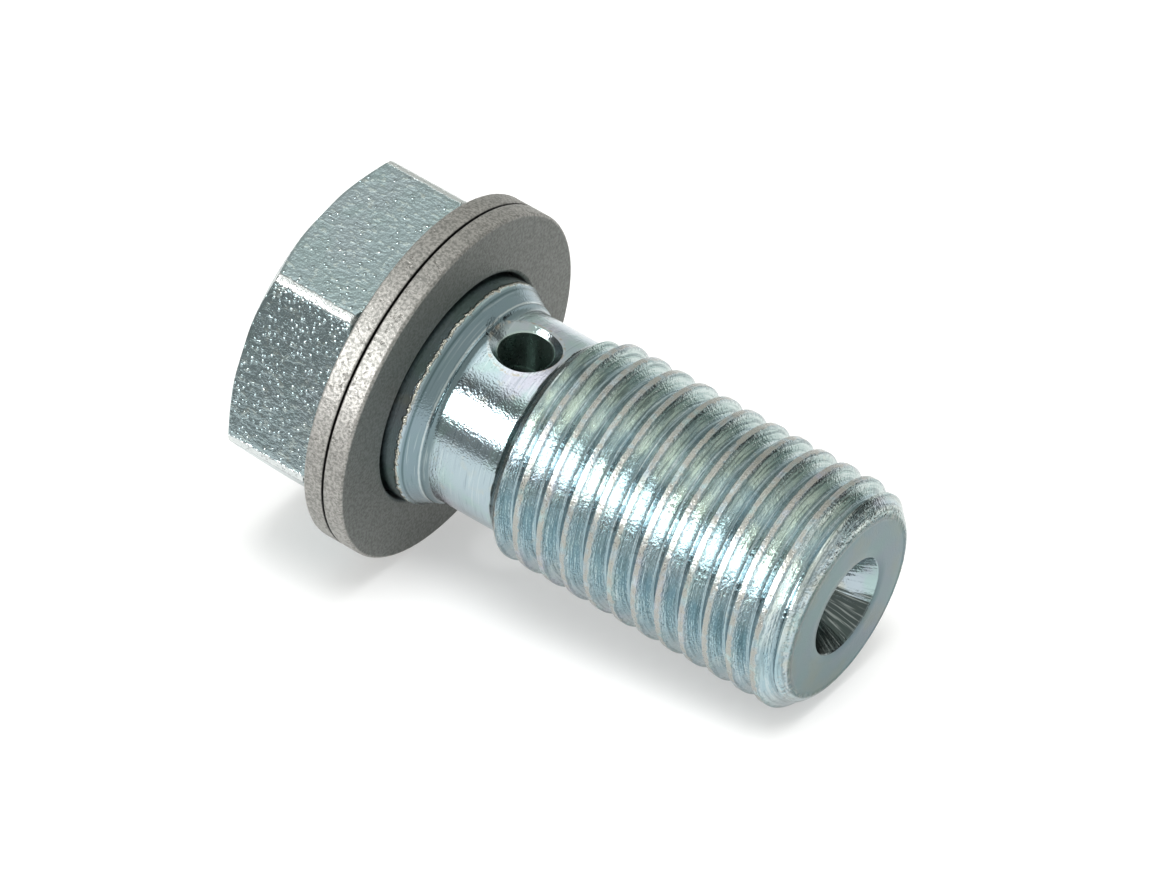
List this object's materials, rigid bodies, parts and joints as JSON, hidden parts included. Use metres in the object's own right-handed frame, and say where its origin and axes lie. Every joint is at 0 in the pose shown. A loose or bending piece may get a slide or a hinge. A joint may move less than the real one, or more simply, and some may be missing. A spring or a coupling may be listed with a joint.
{
  "type": "banjo bolt with sealing washers",
  "caption": "Hollow hexagon-head bolt with a cross-drilled neck and an axial fluid bore, standing on its head with its flat sealing washers on the collar.",
  "frame": {"origin": "centre of the head's flat end face, on the bolt's axis, where the bolt stands", "axes": "+Z along the axis from the head to the tip; +X square to a flat of the hexagon"},
  "size_m": [0.0172, 0.0172, 0.0282],
  "materials": {
    "zinc_steel": "bright zinc plating with a thin blue passivation, polished by turning on the neck and thread, forged skin on the head",
    "soft_aluminium": "stamped and tumbled, matte grey and finely grainy"
  },
  "bodies": {
    "root": {"hollow_bolt": "zinc_steel", "rear_washer": "soft_aluminium", "front_washer": "soft_aluminium"}
  },
  "joints": []
}
